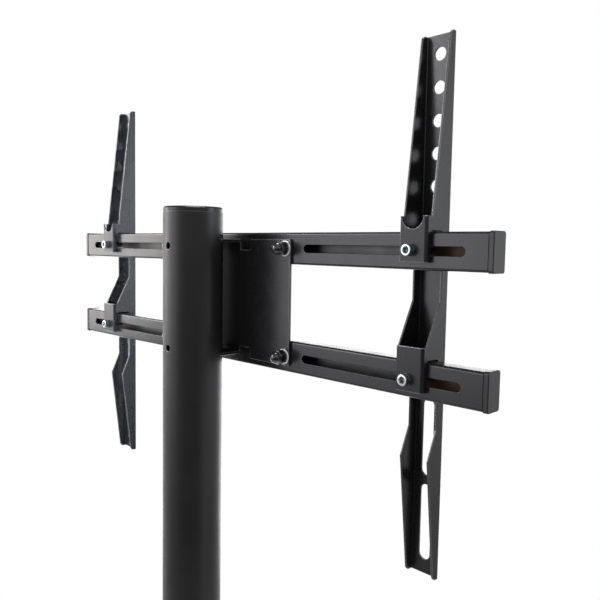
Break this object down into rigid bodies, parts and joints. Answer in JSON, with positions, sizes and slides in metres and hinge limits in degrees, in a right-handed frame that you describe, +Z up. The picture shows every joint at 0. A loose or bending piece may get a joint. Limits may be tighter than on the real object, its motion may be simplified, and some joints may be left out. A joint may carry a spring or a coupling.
{
  "type": "floor stand for a flat screen",
  "caption": "Floor stand: round pole on a flat base, slotted cross rails on a pole bracket, and hook-on channel arms that slide along the rails to bolt up a flat screen.",
  "frame": {"origin": "on the floor, on the pole's axis, in the middle of the base", "axes": "+Z up along the pole; the screen faces -Y; X runs along the rails, +X to the right for someone looking at the screen"},
  "size_m": [0.65, 0.5, 1.4825],
  "materials": {
    "powder_coat_black": "satin powder coat",
    "zinc_steel": "bright zinc plate",
    "fastener_black": "gloss black plating",
    "plastic_black": "moulded, fine texture",
    "rubber_black": "matt"
  },
  "bodies": {
    "stand": {"acorn_nut_lower_left": "fastener_black", "acorn_nut_lower_right": "fastener_black", "acorn_nut_upper_left": "fastener_black", "acorn_nut_upper_right": "fastener_black", "base_plate": "powder_coat_black", "foot_1": "rubber_black", "foot_2": "rubber_black", "foot_3": "rubber_black", "foot_4": "rubber_black", "lower_rail": "powder_coat_black", "mount_bracket": "powder_coat_black", "pole_bolt_lower": "zinc_steel", "pole_bolt_upper": "zinc_steel", "pole_pad_lower": "zinc_steel", "pole_pad_upper": "zinc_steel", "pole_ring": "powder_coat_black", "pole_saddle": "powder_coat_black", "pole_top_cap": "plastic_black", "pole_tube": "powder_coat_black", "rail_bolt_lower_left": "fastener_black", "rail_bolt_lower_right": "fastener_black", "rail_bolt_upper_left": "fastener_black", "rail_bolt_upper_right": "fastener_black", "rail_cap_lower_left": "plastic_black", "rail_cap_lower_right": "plastic_black", "rail_cap_upper_left": "plastic_black", "rail_cap_upper_right": "plastic_black", "rail_sleeve_lower_left": "zinc_steel", "rail_sleeve_lower_right": "zinc_steel", "rail_sleeve_upper_left": "zinc_steel", "rail_sleeve_upper_right": "zinc_steel", "rail_washer_lower_left": "zinc_steel", "rail_washer_lower_right": "zinc_steel", "rail_washer_upper_left": "zinc_steel", "rail_washer_upper_right": "zinc_steel", "ring_bolt_1": "fastener_black", "ring_bolt_2": "fastener_black", "ring_bolt_3": "fastener_black", "ring_bolt_4": "fastener_black", "saddle_nut_lower": "zinc_steel", "saddle_nut_upper": "zinc_steel", "upper_rail": "powder_coat_black"},
    "arm_left": {"arm_left": "powder_coat_black", "clamp_nut_upper_left": "powder_coat_black", "clamp_nut_lower_left": "powder_coat_black"},
    "clamp_screw_upper_left": {"clamp_screw_upper_left": "zinc_steel"},
    "clamp_screw_lower_left": {"clamp_screw_lower_left": "zinc_steel"},
    "arm_right": {"arm_right": "powder_coat_black", "clamp_nut_upper_right": "powder_coat_black", "clamp_nut_lower_right": "powder_coat_black"},
    "clamp_screw_upper_right": {"clamp_screw_upper_right": "zinc_steel"},
    "clamp_screw_lower_right": {"clamp_screw_lower_right": "zinc_steel"}
  },
  "joints": [
    {"name": "arm_left_slide", "type": "slide", "parent": "stand", "child": "arm_left", "axis": [1, 0, 0], "range_m": [-0.045, 0.128]},
    {"name": "arm_right_slide", "type": "slide", "parent": "stand", "child": "arm_right", "axis": [1, 0, 0], "range_m": [-0.1285, 0.044]},
    {"name": "clamp_screw_upper_left_travel", "type": "slide", "parent": "arm_left", "child": "clamp_screw_upper_left", "axis": [0, 1, 0], "range_m": [0, 0.015]},
    {"name": "clamp_screw_lower_left_travel", "type": "slide", "parent": "arm_left", "child": "clamp_screw_lower_left", "axis": [0, 1, 0], "range_m": [0, 0.015]},
    {"name": "clamp_screw_upper_right_travel", "type": "slide", "parent": "arm_right", "child": "clamp_screw_upper_right", "axis": [0, 1, 0], "range_m": [0, 0.015]},
    {"name": "clamp_screw_lower_right_travel", "type": "slide", "parent": "arm_right", "child": "clamp_screw_lower_right", "axis": [0, 1, 0], "range_m": [0, 0.015]}
  ]
}
